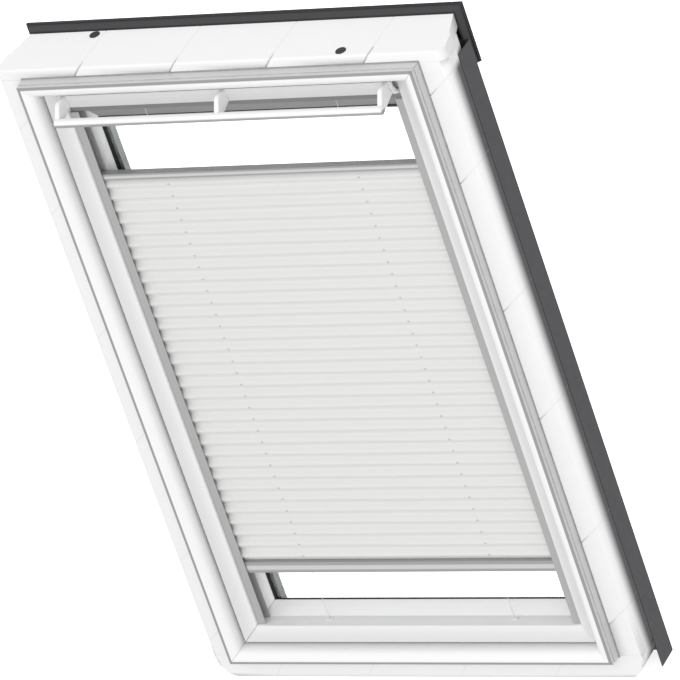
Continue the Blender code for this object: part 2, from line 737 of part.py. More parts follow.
def control_bar():
    """Rounded bar in front of the flap, held by three arms that fit round its back."""
    face_d = SASH_D - FIT
    top_in = SASH_IN + FLAP_TOP_GAP + FIT
    slope = (FLAP_LOW_D - SASH_D) / (FLAP_LOW_IN - FLAP_KNEE_IN)
    middle_d = sum(BAR_D) / 2
    arm = rounded((
        (face_d, top_in, 0.0),
        (ARM_KNEE_D, top_in, ARM_KNEE_R),
        (middle_d, BAR_IN[0] + ARM_INSET, 0.0),
        (middle_d, BAR_IN[1] - ARM_INSET, 0.0),
        (face_d + slope * (ARM_LOW_IN - FLAP_KNEE_IN) - FIT, ARM_LOW_IN, 0.0),
        (face_d, FLAP_KNEE_IN, 0.0),
    ))

    def section(grown):
        near, far = BAR_D[0] - grown, BAR_D[1] + grown
        top, low = BAR_IN[0] - grown, BAR_IN[1] + grown
        corners = ((near, top), (near, low), (far, low), (far, top))
        return rounded([(depth, inset, BAR_R + grown) for depth, inset in corners])

    seat = side_bar("bar_seat", "head", section(FIT), None, (0.0, 0.0), True)
    pieces = []
    for name, x in (("left", -ARM_X), ("middle", 0.0), ("right", ARM_X)):
        ends = (HALF_W + x - ARM_WIDE / 2, HALF_W - x - ARM_WIDE / 2)
        bracket = side_bar(f"bar_bracket_{name}", "head", arm, WHITE, ends)
        cut(bracket, seat)
        pieces.append(bracket)
    reach = HALF_W - BAR_HALF
    pieces.append(side_bar("control_bar", "head", section(0.0), WHITE, (reach, reach)))
    return pieces


def blind_channels():
    """Aluminium side channels on the stiles, from the sash bottom to the head."""
    near, far = CHANNEL_D
    open_in = CHANNEL_IN + CHANNEL_WIDE
    back_in = CHANNEL_IN + CHANNEL_T
    section = flat((
        (near, CHANNEL_IN), (near, open_in), (near + CHANNEL_T, open_in), (near + CHANNEL_T, back_in),
        (far - CHANNEL_T, back_in), (far - CHANNEL_T, open_in), (far, open_in), (far, CHANNEL_IN),
    ))
    ends = (CHANNEL_IN, HEAD_LEDGE_IN + FIT)
    return [side_bar(f"blind_channel_{side}", side, section, ALU, ends) for side in SIGN]


def cords(sash_bottom, sash_head):
    """Taut cords, each between anchors that sit in pockets of the sash bottom and the sash head."""
    low = WALL_IN - ANCHOR_DEEP
    high = FRAME_H - HEAD_LEDGE_IN + ANCHOR_DEEP
    tall = ANCHOR_DEEP + ANCHOR_PROUD
    ends = (("lower", (low, low + tall), sash_bottom), ("upper", (high - tall, high), sash_head))
    upright = (0.0, 0.0, 0.0)
    half = ANCHOR_WIDE / 2
    depth_hole = (ANCHOR_D[0] - FIT, ANCHOR_D[1] + FIT)
    pieces = []
    for side, sign in SIGN.items():
        middle = sign * CORD_X
        across = (middle - half, middle + half)
        across_hole = (across[0] - FIT, across[1] + FIT)
        place = Vector((middle, ROOM_Y + CORD_D, (low + high) / 2))
        bore = rod(f"anchor_bore_{side}", ANCHOR_BORE_R, FRAME_H, place, upright, None, True)
        for end, height, bar in ends:
            anchor = box(f"cord_anchor_{side}_{end}", across, ANCHOR_D, height, WHITE)
            cut(anchor, bore)
            pieces.append(anchor)
            height_hole = (height[0] - FIT, height[1] + FIT)
            cut(bar, box(f"anchor_pocket_{side}_{end}", across_hole, depth_hole, height_hole, None, True))
        long = high - low - FIT * 2
        pieces.append(rod(f"tension_cord_{side}", CORD_R, long, place, upright, CORD))
    return pieces


def rail(name, height, look):
    """Rail of the blind with a hole for each cord."""
    near, far = RAIL_D
    low, high = height
    section = rounded((
        (near, low, RAIL_R), (near, high, RAIL_R), (far, high, RAIL_R), (far, low, RAIL_R),
    ))
    made = prism(name, [section], RAIL_HALF, look)
    made.location.y = ROOM_Y
    for side, sign in SIGN.items():
        place = Vector((sign * CORD_X, ROOM_Y + CORD_D, (low + high) / 2))
        hole = rod(f"{name}_hole_{side}", CORD_HOLE_R, (high - low) * 2, place, (0.0, 0.0, 0.0), None, True)
        cut(made, hole)
    return made


def sliders(name, height):
    """Nylon sliders on both ends of a rail."""
    middle = sum(height) / 2
    depth = (CHANNEL_D[0] + CHANNEL_T + SLIDE_PLAY, CHANNEL_D[1] - CHANNEL_T - SLIDE_PLAY)
    tall = (middle - SLIDER_TALL / 2, middle + SLIDER_TALL / 2)
    pieces = []
    for side, sign in SIGN.items():
        across = sorted((sign * SLIDER_X, sign * (SLIDER_X + SLIDER_WIDE)))
        pieces.append(box(f"{name}_{side}", across, depth, tall, GREY))
    return pieces


def pleated_cloth():
    """Pleated cloth between the rails, with a row of notches for each cord."""
    low = BOTTOM_RAIL_Z[1] + FIT
    high = TOP_RAIL_Z[0] - FIT
    folds = PLEATS * 2
    front, back = CLOTH_D
    line = [
        (front if fold % 2 else back, low + (high - low) * fold / folds)
        for fold in range(folds + 1)
    ]
    outline = flat(line + [(d - CLOTH_T, z) for d, z in reversed(line)])
    cloth = prism("pleated_cloth", [outline], RAIL_HALF, CLOTH)
    cloth.location.y = ROOM_Y
    half = NOTCH_WIDE / 2
    for side, sign in SIGN.items():
        edges = (sign * CORD_X - half, sign * CORD_X + half)
        notch = box(f"cloth_notch_{side}", edges, (back - NOTCH_DEEP, back + PAST),
                    (low - PAST, high + PAST), None, True)
        cut(cloth, notch)
    return cloth


# The window, from the frame that stays in the roof to the blind
frame = frame_bars()
frame_seal()
foam = collar()
collar_plugs(foam["head"])
frame_covers()
hood()
sash = sash_bars()
lock_case = lock(sash["head"], frame["head"])
pivot_pins = pivots(frame, sash)
glass = glass_unit()
covers = sash_covers()
flap_pieces = vent_flap(sash)
bar_pieces = control_bar()
channels = blind_channels()
cord_pieces = cords(sash["bottom"], sash["head"])
top_rail = rail("top_rail", TOP_RAIL_Z, ALU)
bottom_rail = rail("bottom_rail", BOTTOM_RAIL_Z, ALU)
top_sliders = sliders("top_slider", TOP_RAIL_Z)
bottom_sliders = sliders("bottom_slider", BOTTOM_RAIL_Z)
cloth = pleated_cloth()

sash_axis = axis("sash_axis", (0.0, ROOM_Y + PIVOT_D, PIVOT_Z),
                 [*sash.values(), lock_case, *pivot_pins, *glass, *covers, *channels, *cord_pieces])
flap_axis = axis("flap_axis", (0.0, ROOM_Y + FLAP_AXIS_D, FLAP_AXIS_Z), flap_pieces + bar_pieces)
top_axis = axis("top_rail_axis", (0.0, ROOM_Y + CORD_D, TOP_RAIL_Z[0]), [top_rail, *top_sliders, cloth])
bottom_axis = axis("bottom_rail_axis", (0.0, ROOM_Y + CORD_D, BOTTOM_RAIL_Z[1]),
                   [bottom_rail, *bottom_sliders])
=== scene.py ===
"""Looks of a centre-pivot skylight window with its pleated blind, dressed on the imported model."""
import json
import math
from collections import namedtuple

import bmesh
import bpy
from mathutils import Matrix, Vector


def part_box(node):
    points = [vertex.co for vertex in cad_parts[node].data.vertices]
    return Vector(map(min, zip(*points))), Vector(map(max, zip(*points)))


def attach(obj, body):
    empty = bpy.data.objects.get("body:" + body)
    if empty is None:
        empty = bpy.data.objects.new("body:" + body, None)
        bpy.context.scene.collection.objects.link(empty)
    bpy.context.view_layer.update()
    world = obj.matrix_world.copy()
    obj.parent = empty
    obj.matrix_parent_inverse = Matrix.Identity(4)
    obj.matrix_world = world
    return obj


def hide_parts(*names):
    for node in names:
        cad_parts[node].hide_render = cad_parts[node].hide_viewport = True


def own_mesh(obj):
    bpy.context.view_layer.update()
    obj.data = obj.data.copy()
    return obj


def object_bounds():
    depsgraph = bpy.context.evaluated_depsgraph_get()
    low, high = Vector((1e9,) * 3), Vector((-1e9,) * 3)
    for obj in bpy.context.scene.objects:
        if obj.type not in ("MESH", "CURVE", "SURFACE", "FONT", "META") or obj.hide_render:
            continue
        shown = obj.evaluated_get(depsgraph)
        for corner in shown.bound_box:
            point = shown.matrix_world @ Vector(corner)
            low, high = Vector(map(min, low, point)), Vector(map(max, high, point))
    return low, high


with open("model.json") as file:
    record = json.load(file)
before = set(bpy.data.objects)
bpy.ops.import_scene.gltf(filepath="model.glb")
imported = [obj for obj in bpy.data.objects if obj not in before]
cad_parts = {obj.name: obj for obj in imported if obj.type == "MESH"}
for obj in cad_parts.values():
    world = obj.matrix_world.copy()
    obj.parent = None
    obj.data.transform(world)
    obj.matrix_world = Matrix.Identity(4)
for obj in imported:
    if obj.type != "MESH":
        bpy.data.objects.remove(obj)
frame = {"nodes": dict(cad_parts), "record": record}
CAD_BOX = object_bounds()
NODES = frame["nodes"]
SLOTS = {entry["node"]: entry["material_slot"] for entry in frame["record"]["subparts"]}
BODIES = {node: body for body, nodes in frame["record"]["behaviour"]["bodies"].items() for node in nodes}


def edge(node, end, axis):
    """Lowest (0) or highest (1) place of a node along an axis, in metres."""
    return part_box(node)[end]["xyz".index(axis)]


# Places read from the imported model. A depth is counted from the frame's room face, an inset from the
# frame's outer edge.
FRAME_RIGHT = edge("frame_head", 1, "x")
FRAME_TOP = edge("frame_head", 1, "z")
MID_Z = FRAME_TOP / 2
ROOM_Y = edge("frame_head", 0, "y")
COLLAR_Y = edge("collar_left", 0, "y")
COLLAR_DEPTH = COLLAR_Y - ROOM_Y
COVER_TOP = edge("side_cover_left", 1, "z")
CHANNEL_RIGHT = edge("blind_channel_right", 1, "x")
CORD_X = (edge("tension_cord_right", 0, "x") + edge("tension_cord_right", 1, "x")) / 2
HOOD_LOW, HOOD_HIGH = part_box("hood")
BAR_LOW = edge("control_bar", 0, "z")
FLAP_LOW = edge("vent_flap", 0, "z")
STILE_DEPTH = edge("sash_stile_left", 0, "y") - ROOM_Y
HEAD_DEPTH = edge("sash_head", 0, "y") - ROOM_Y

# Camera at the photograph's angle, in degrees, metres and millimetres of lens
VIEW_TARGET = Vector((0.0560, 0.00205, 0.6545))
VIEW_TURN = 33.836
VIEW_RISE = 29.127
VIEW_ROLL = -19.408
VIEW_DISTANCE = 11.688
VIEW_LENS = 375.1
VIEW_FAR = 60.0

# Fill of the world: where it is brightest, its strength there and on the far side, and how directly
# a way has to point there to be at full strength
FILL_FROM = (8.0, 68.0)
FILL_HIGH = 0.93
FILL_LOW = 0.40
FILL_FULL = 0.25

# Lamp and floor
KEY_TURN = 16.0
KEY_RISE = 22.0
KEY_DISTANCE = 4.2
KEY_SIZE = 2.8
KEY_POWER = 43.0
FLOOR_GLOW = 0.8
FLOOR_HALF = 20.0
FLOOR_GAP = 0.001

# Colours, linear
WHITE = (1.0, 1.0, 1.0, 1.0)
FRAME_WHITE = (0.935, 0.935, 0.938)
SASH_WHITE = (0.740, 0.740, 0.744)
# Lighter copy of the sash's white: painted light on the reveal.
REVEAL_PAINTED_LIGHT = (0.960, 0.960, 0.962)
# Painted shadow on the sash head's inner face under the vent flap.
HEAD_PAINTED_SHADOW = (0.370, 0.370, 0.370)
FOAM_WHITE = (0.930, 0.930, 0.935)
# Painted shade on the collar's outer sides next to the dark covers.
FOAM_SHADOW = (0.090, 0.090, 0.096)
BAR_WHITE = (0.910, 0.910, 0.912)
# Painted shadow in the joint between frame and collar.
JOINT_SHADOW_GREY = (0.310, 0.310, 0.312)
# Painted shade in the lining groove along the frame's outer sides.
GROOVE_SHADE_GREY = (0.520, 0.520, 0.522)
COVER_GREY = (0.040, 0.040, 0.045)
RUBBER_BLACK = (0.014, 0.014, 0.015)
PLASTIC_GREY = (0.40, 0.41, 0.43)
ALU_GREY = (0.44, 0.445, 0.44)
# Grey of the ledge strip, darkened as painted shadow under the vent flap.
LEDGE_GREY_AND_SHADOW = (0.24, 0.242, 0.24)
RAIL_GREY = (0.37, 0.372, 0.37)
# Painted highlight along the middle of the rails.
RAIL_HIGHLIGHT = (0.62, 0.622, 0.62)
SPACER_GREY = (0.40, 0.41, 0.41)
ZINC = (0.62, 0.63, 0.65)
CLOTH_WHITE = (0.750, 0.752, 0.742)
# Painted light on the pleats' lower faces, for light through the cloth.
CLOTH_LIT = (0.805, 0.807, 0.796)
CLOTH_HOLE = (0.56, 0.56, 0.55)
CORD_WHITE = (0.78, 0.78, 0.76)
GLASS_TINT = (0.985, 0.995, 0.99)

# Finish of a surface: how close its clouds and its grain lie, its lowest and highest roughness, its
# darkest and lightest share of the colour, and the depth in metres and the strength of its grain
Finish = namedtuple("Finish", "cloud grain smooth rough dark light depth strength")
LACQUER = Finish(7.0, 1700.0, 0.30, 0.42, 0.985, 1.012, 0.00003, 0.5)
MOULDED = Finish(22.0, 2100.0, 0.34, 0.46, 0.98, 1.015, 0.00003, 0.6)
FOAM = Finish(26.0, 900.0, 0.68, 0.86, 0.98, 1.01, 0.00006, 0.4)
COVER_PAINT = Finish(11.0, 2300.0, 0.44, 0.60, 0.93, 1.08, 0.00004, 0.6)
RUBBER = Finish(70.0, 1400.0, 0.52, 0.72, 0.75, 1.5, 0.00004, 0.6)
PLASTIC = Finish(40.0, 1600.0, 0.40, 0.56, 0.93, 1.06, 0.00003, 0.6)
DRAWN = Finish(160.0, 2600.0, 0.34, 0.48, 0.93, 1.06, 0.00002, 0.6)
PLATED = Finish(55.0, 900.0, 0.24, 0.42, 0.84, 1.08, 0.00002, 0.5)
WOVEN = Finish(300.0, 1200.0, 0.82, 0.95, 0.975, 1.02, 0.00003, 0.4)
BRAIDED = Finish(900.0, 2600.0, 0.72, 0.88, 0.88, 1.06, 0.00003, 0.4)

# Noise of every finish: detail of its clouds, polish and grain, and how much closer its polish lies
CLOUD_DETAIL = 4.0
POLISH_DETAIL = 5.0
GRAIN_DETAIL = 3.0
POLISH_CLOSER = 6.0

# Coats as weight and roughness, bumps as depth in metres and strength
LACQUER_COAT = (0.25, 0.22)
COVER_COAT = (0.1, 0.4)
COVER_METAL = 0.15
ALU_METAL = 0.3
ALU_BRUSHED = 0.4
DRAWN_STRETCH = 0.02
# Band of painted highlight on the rails, as shares of a rail's height
RAIL_HIGHLIGHT_BAND = (0.16, 0.26)
CELL_SCALE = 230.0
CELL_WALL = 0.22
CELL_BUMP = (0.00016, 0.3)
GLASS_IOR = 1.45
ROLL_SCALE = 3.0
ROLL_BUMP = (0.00002, 0.15)
THREAD_SCALE = 420.0
THREAD_WANDER = 0.6
THREAD_BUMP = (0.00005, 0.4)
SHEEN = 0.12
SHEEN_ROUGH = 0.5
BRAID_SCALE = 320.0
BRAID_BUMP = (0.0001, 0.5)

# Painted shade and painted light: from where to where each runs, and the share of the colour that is left
# in the shade
CREASE = (0.019, 0.027)
CREASE_SHADE = 0.88
RIM = (0.0052, 0.0070)
RIM_SHADE = 0.34
OUTER_SIDE = (0.0003, 0.0009)
OUTER_SHADE = 0.66
REVEAL_LIGHT_DEPTHS = (STILE_DEPTH + 0.001, HEAD_DEPTH)
BAR_SHADOW_HEIGHTS = (BAR_LOW + 0.0062, BAR_LOW + 0.0092)
BAR_SHADOW_SHARE = 0.40
HEAD_SHADOW_DEPTHS = (0.040, 0.0455)
HEAD_SHADOW_BELOW = (FLAP_LOW + 0.0040, FLAP_LOW + 0.0080)
FOAM_SHADOW_DEPTHS = (COLLAR_DEPTH + 0.008, COLLAR_DEPTH + 0.036)
FOAM_SHADOW_TOP = (COVER_TOP - 0.016, COVER_TOP + 0.002)

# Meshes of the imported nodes: joined corners, flat faces, and the rounding of each kind of piece
MERGE = 0.00001
FLAT_ANGLE = 0.5
SMOOTH_ANGLE = 40.0
BEVEL_ANGLE = 32.0
BEVEL_SEGMENTS = 2
EDGE_WIDTHS = {
    "frame_head": 0.0010,
    "frame_sill": 0.0010,
    "frame_jamb": 0.0010,
    "sash_head": 0.0008,
    "sash_bottom": 0.0012,
    "sash_stile": 0.0012,
    "sash_cover": 0.0004,
    "side_cover": 0.0005,
    "sill_cover": 0.0005,
    "hood": 0.0005,
    "vent_flap": 0.0007,
    "bar_bracket": 0.0008,
    "control_bar": 0.0015,
    "blind_channel": 0.0003,
    "top_rail": 0.0004,
    "bottom_rail": 0.0004,
    "top_slider": 0.0006,
    "bottom_slider": 0.0006,
    "cord_anchor": 0.0004,
}

# Collar: the way out of the window and the frame's edge on each side
COLLAR_SIDES = {
    "collar_head": (Vector((0.0, 0.0, 1.0)), FRAME_TOP),
    "collar_sill": (Vector((0.0, 0.0, -1.0)), 0.0),
    "collar_left": (Vector((-1.0, 0.0, 0.0)), FRAME_RIGHT),
    "collar_right": (Vector((1.0, 0.0, 0.0)), FRAME_RIGHT),
}

# Score lines of the collar: places from the window's middle, section, slant in degrees, how far they
# run outward and back before they turn faint, and the share of the colour that is left in them as painted
# shade
SCORES_ACROSS = (0.090, 0.270)
SCORES_UP = (0.107, 0.356, 0.525)
SCORE_WIDE = 0.0034
SCORE_DEEP = 0.0022
SCORE_TURN = 38.0
SCORE_REACH = 0.022
SCORE_REACH_HEAD = COLLAR_DEPTH
SCORE_RUN = 0.022
SCORE_FAINT = 0.18
SCORE_SHADE = 0.52

# Grey strips round the frame and strip on the sash head, whose greys are painted shade in the joint with
# the collar and in the lining groove, and partly painted shadow under the vent flap: depth, thickness,
# inset of the outer edge and width
JOINT_SHADOW_STRIP = (COLLAR_DEPTH - 0.0008, 0.0022, -0.0024, 0.0034)
GROOVE_SHADE_STRIP = (0.0055, 0.0039, 0.0006, 0.0040)
LEDGE_STRIP = (0.0438, 0.0012, 0.0652, 0.0105)
SHADE_STRIP_ROUND = 0.0003
LEDGE_ROUND = 0.0003
LEDGE_END_GAP = 0.002

# Trims of the hood
TRIM_R = 0.0026
TRIM_STEPS = 3
LIP_IN = 0.0131

# Screws of the covers: places as shares of a cover's height, and sizes, some as shares of others
SCREW_SHARES = (0.08, 0.36, 0.64, 0.90)
SCREW_R = 0.0042
SCREW_TALL = 0.0016
SCREW_SIDES = 18
SCREW_TOP = 0.62
SOCKET_RIM = 0.3
SOCKET_DEEP = 0.7
SCREW_ANGLE = 30.0

# Pleated cloth
PLEATS = 33
FOLD_ROWS = 8
CLOTH_COLUMNS = 72
CLOTH_THICK = 0.0004
CLOTH_SLACK = 0.66
CLOTH_ROUND = 0.75
CLOTH_ANGLE = 60.0
WANDER = 0.0004
WANDER_UP = 1.7
WANDER_ACROSS = 9.0
CLOTH_LOW, CLOTH_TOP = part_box("pleated_cloth")
CLOTH_WIDE = CLOTH_TOP[0] - CLOTH_LOW[0]
CLOTH_TALL = CLOTH_TOP[2] - CLOTH_LOW[2]
CLOTH_SWING = (CLOTH_TOP[1] - CLOTH_LOW[1] - CLOTH_THICK * 2) * CLOTH_SLACK
CLOTH_FOLD = math.hypot(CLOTH_TALL / (PLEATS * 2), CLOTH_SWING) * 2
HOLE_WIDE = 0.0034
HOLE_TALL = 0.0024
HOLE_EDGE = (0.4, 1.0)


def view_direction(turn, rise):
    """Unit vector from the object toward a viewer, from a turn and a rise in degrees."""
    turn, rise = math.radians(turn), math.radians(rise)
    return Vector((math.sin(turn) * math.cos(rise), -math.cos(turn) * math.cos(rise), math.sin(rise)))


def camera():
    """Camera at the photograph's angle."""
    data = bpy.data.cameras.new("photo_camera")
    data.lens = VIEW_LENS
    data.clip_end = VIEW_FAR
    made = bpy.data.objects.new("photo_camera", data)
    outward = view_direction(VIEW_TURN, VIEW_RISE)
    made.location = VIEW_TARGET + outward * VIEW_DISTANCE
    level = outward.to_track_quat("Z", "Y").to_matrix()
    made.rotation_euler = (level @ Matrix.Rotation(math.radians(VIEW_ROLL), 3, "Z")).to_euler()
    bpy.context.scene.collection.objects.link(made)
    bpy.context.scene.camera = made


def key_lamp():
    """Square soft lamp that points at the middle of the object."""
    data = bpy.data.lights.new("key_lamp", "AREA")
    data.size = KEY_SIZE
    data.energy = KEY_POWER
    made = bpy.data.objects.new("key_lamp", data)
    outward = view_direction(KEY_TURN, KEY_RISE)
    made.location = Vector((0.0, 0.0, MID_Z)) + outward * KEY_DISTANCE
    made.rotation_euler = outward.to_track_quat("Z", "Y").to_euler()
    bpy.context.scene.collection.objects.link(made)


def maths(tree, operation, first, second=0.0):
    """Math node on two values, each of them a number or the output of a node."""
    made = tree.nodes.new("ShaderNodeMath")
    made.operation = operation
    for socket, value in zip(made.inputs, (first, second)):
        if isinstance(value, float):
            socket.default_value = value
        else:
            tree.links.new(value, socket)
    return made.outputs[0]


def world_light():
    """World that is white where it is seen, and softer where it lights the object."""
    world = bpy.data.worlds.new("studio")
    bpy.context.scene.world = world
    world.use_nodes = True
    tree = world.node_tree
    tree.nodes.clear()
    output = tree.nodes.new("ShaderNodeOutputWorld")
    mix = tree.nodes.new("ShaderNodeMixShader")
    path = tree.nodes.new("ShaderNodeLightPath")
    fill = tree.nodes.new("ShaderNodeBackground")
    seen = tree.nodes.new("ShaderNodeBackground")
    for background in (fill, seen):
        background.inputs["Color"].default_value = WHITE
    towards = tree.nodes.new("ShaderNodeTexCoord")
    facing = tree.nodes.new("ShaderNodeVectorMath")
    facing.operation = "DOT_PRODUCT"
    facing.inputs[1].default_value = view_direction(*FILL_FROM)
    strength = tree.nodes.new("ShaderNodeMapRange")
    strength.inputs["From Min"].default_value = -1.0
    strength.inputs["From Max"].default_value = FILL_FULL
    strength.inputs["To Min"].default_value = FILL_LOW
    strength.inputs["To Max"].default_value = FILL_HIGH
    tree.links.new(towards.outputs["Generated"], facing.inputs[0])
    tree.links.new(facing.outputs["Value"], strength.inputs["Value"])
    tree.links.new(strength.outputs["Result"], fill.inputs["Strength"])
    chosen = path.outputs["Is Camera Ray"]
    for ray in ("Is Glossy Ray", "Is Transmission Ray"):
        chosen = maths(tree, "MAXIMUM", chosen, path.outputs[ray])
    tree.links.new(chosen, mix.inputs[0])
    tree.links.new(fill.outputs[0], mix.inputs[1])
    tree.links.new(seen.outputs[0], mix.inputs[2])
    tree.links.new(mix.outputs[0], output.inputs["Surface"])


def floor():
    """Plain pale floor just below the window."""
    mesh = bpy.data.meshes.new("floor")
    shape = bmesh.new()
    bmesh.ops.create_grid(shape, x_segments=2, y_segments=2, size=FLOOR_HALF)
    shape.to_mesh(mesh)
    shape.free()
    made = bpy.data.objects.new("floor", mesh)
    made.location.z = CAD_BOX[0][2] - FLOOR_GAP
    paint = bpy.data.materials.new("floor_white")
    paint.use_nodes = True
    shader = paint.node_tree.nodes["Principled BSDF"]
    shader.inputs["Base Color"].default_value = WHITE
    shader.inputs["Roughness"].default_value = 1.0
    shader.inputs["Emission Color"].default_value = WHITE
    shader.inputs["Emission Strength"].default_value = FLOOR_GLOW
    mesh.materials.append(paint)
    bpy.context.scene.collection.objects.link(made)
    made.visible_diffuse = False
    made.visible_glossy = False


def new_group(name, inputs, outputs):
    """Shader node group with named inputs and outputs, and its own input and output nodes."""
    group = bpy.data.node_groups.new(name, "ShaderNodeTree")
    for label, kind in inputs.items():
        group.interface.new_socket(label, in_out="INPUT", socket_type=kind)
    for label in outputs:
        group.interface.new_socket(label, in_out="OUTPUT", socket_type="NodeSocketFloat")
    return group, group.nodes.new("NodeGroupInput"), group.nodes.new("NodeGroupOutput")


def surface_group():
    """Cloudy shade, uneven polish and a fine grain, all read from the object's own places."""
    group, start, end = new_group("fine_surface", {
        "Place": "NodeSocketVector",
        "Stretch": "NodeSocketVector",
        "Cloud Scale": "NodeSocketFloat",
        "Grain Scale": "NodeSocketFloat",
        "Low Roughness": "NodeSocketFloat",
        "High Roughness": "NodeSocketFloat",
    }, ("Shade", "Roughness", "Grain"))
    stretch = group.nodes.new("ShaderNodeVectorMath")
    stretch.operation = "MULTIPLY"
    group.links.new(start.outputs["Place"], stretch.inputs[0])
    group.links.new(start.outputs["Stretch"], stretch.inputs[1])

    def noise(scale, detail, closer=1.0):
        made = group.nodes.new("ShaderNodeTexNoise")
        made.inputs["Detail"].default_value = detail
        group.links.new(maths(group, "MULTIPLY", start.outputs[scale], closer), made.inputs["Scale"])
        group.links.new(stretch.outputs[0], made.inputs["Vector"])
        return made.outputs["Fac"]

    polish = group.nodes.new("ShaderNodeMapRange")
    group.links.new(noise("Cloud Scale", POLISH_DETAIL, POLISH_CLOSER), polish.inputs["Value"])
    group.links.new(start.outputs["Low Roughness"], polish.inputs["To Min"])
    group.links.new(start.outputs["High Roughness"], polish.inputs["To Max"])
    group.links.new(noise("Cloud Scale", CLOUD_DETAIL), end.inputs["Shade"])
    group.links.new(polish.outputs["Result"], end.inputs["Roughness"])
    group.links.new(noise("Grain Scale", GRAIN_DETAIL), end.inputs["Grain"])
    return group


def window_group():
    """Place on the window: inset from the frame's outer edge, depth behind its face, and height."""
    group, start, end = new_group("window_place", {"Place": "NodeSocketVector"},
                                  ("Inset", "Depth", "Height"))
    parts = group.nodes.new("ShaderNodeSeparateXYZ")
    group.links.new(start.outputs["Place"], parts.inputs[0])
    side = maths(group, "SUBTRACT", FRAME_RIGHT, maths(group, "ABSOLUTE", parts.outputs["X"]))
    above = maths(group, "SUBTRACT", FRAME_TOP, parts.outputs["Z"])
    inset = maths(group, "MINIMUM", side, maths(group, "MINIMUM", above, parts.outputs["Z"]))
    group.links.new(inset, end.inputs["Inset"])
    group.links.new(maths(group, "SUBTRACT", parts.outputs["Y"], ROOM_Y), end.inputs["Depth"])
    group.links.new(parts.outputs["Z"], end.inputs["Height"])
    return group


SURFACE = surface_group()
WINDOW = window_group()


class Look:
    """Material that is built up in layers: a coat in its colour, shades over it, and bumps."""

    def __init__(self, name, colour, metallic=0.0):
        self.material = bpy.data.materials.new(name)
        self.material.use_nodes = True
        self.tree = self.material.node_tree
        self.shader = self.tree.nodes["Principled BSDF"]
        self.colour = colour
        self.set("Metallic", metallic)
        self.places = self.node("ShaderNodeTexCoord").outputs["Object"]
        self.painted = None
        self.grain = None
        self.height = None

    def set(self, socket, value):
        """Fixed value of one of the shader's own sockets."""
        self.shader.inputs[socket].default_value = value

    def node(self, kind, **values):
        """Node of a kind, with its settings."""
        made = self.tree.nodes.new(kind)
        for key, value in values.items():
            setattr(made, key, value)
        return made

    def link(self, start, end):
        """Link between two sockets."""
        self.tree.links.new(start, end)

    def maths(self, operation, first, second=0.0):
        """Math node in this material."""
        return maths(self.tree, operation, first, second)

    def between(self, value, low, high, kind="SMOOTHSTEP"):
        """Mask that runs from none at one value to full at another."""
        made = self.node("ShaderNodeMapRange", interpolation_type=kind)
        made.inputs["From Min"].default_value = low
        made.inputs["From Max"].default_value = high
        self.link(value, made.inputs["Value"])
        return made.outputs["Result"]

    def inverse(self, mask):
        """Mask that is full where the given one is empty."""
        return self.maths("SUBTRACT", 1.0, mask)

    def window_place(self, wanted):
        """One output of the shared group that tells where on the window a point is."""
        made = self.node("ShaderNodeGroup", node_tree=WINDOW)
        self.link(self.places, made.inputs["Place"])
        return made.outputs[wanted]

    def paint(self, mask, first, second):
        """Base colour that runs from one colour to another as the mask fills."""
        mix = self.node("ShaderNodeMix", data_type="RGBA")
        self.link(mask, mix.inputs["Factor"])
        for socket, colour in (("A", first), ("B", second)):
            if isinstance(colour, tuple):
                mix.inputs[socket].default_value = (*colour, 1.0)
            else:
                self.link(colour, mix.inputs[socket])
        self.painted = mix.outputs["Result"]
        self.link(self.painted, self.shader.inputs["Base Color"])

    def shaded(self, share):
        """The look's own colour, changed to a share of it."""
        return tuple(min(part * share, 1.0) for part in self.colour)

    def coat(self, finish, stretch=(1.0, 1.0, 1.0)):
        """Uneven shade and polish of a finish, from the shared surface group."""
        made = self.node("ShaderNodeGroup", node_tree=SURFACE)
        made.inputs["Stretch"].default_value = stretch
        made.inputs["Cloud Scale"].default_value = finish.cloud
        made.inputs["Grain Scale"].default_value = finish.grain
        made.inputs["Low Roughness"].default_value = finish.smooth
        made.inputs["High Roughness"].default_value = finish.rough
        self.link(self.places, made.inputs["Place"])
        self.link(made.outputs["Roughness"], self.shader.inputs["Roughness"])
        self.grain = (made.outputs["Grain"], finish.depth, finish.strength)
        self.paint(made.outputs["Shade"], self.shaded(finish.dark), self.shaded(finish.light))

    def fade(self, colour, mask):
        """Lays a second colour over the paint so far where the mask is full."""
        self.paint(mask, self.painted, colour)

    def clear_coat(self, weight, rough):
        """Thin clear layer on top."""
        self.set("Coat Weight", weight)
        self.set("Coat Roughness", rough)

    def bump(self, value, depth, strength):
        """Bump of a depth in metres, on top of any bump made before."""
        made = self.node("ShaderNodeBump")
        made.inputs["Distance"].default_value = depth
        made.inputs["Strength"].default_value = strength
        self.link(value, made.inputs["Height"])
        if self.height is not None:
            self.link(self.height, made.inputs["Normal"])
        self.height = made.outputs["Normal"]
        self.link(self.height, self.shader.inputs["Normal"])

    def finished(self):
        """The material, with the grain of its finish as the last bump."""
        self.bump(*self.grain)
        return self.material


def frame_lacquer():
    """Smooth white coat, with painted shade on the frame's rim, on its outer sides and in the joint with
    the sash.
    """
    look = Look("frame_lacquer", FRAME_WHITE)
    look.coat(LACQUER)
    look.clear_coat(*LACQUER_COAT)
    inset = look.window_place("Inset")
    # Painted shade in the joint with the sash, on the frame's front rim and on its outer sides.
    look.fade(look.shaded(CREASE_SHADE), look.between(inset, *CREASE))
    look.fade(look.shaded(RIM_SHADE), look.inverse(look.between(inset, *RIM)))
    look.fade(look.shaded(OUTER_SHADE), look.inverse(look.between(inset, *OUTER_SIDE)))
    return look.finished()


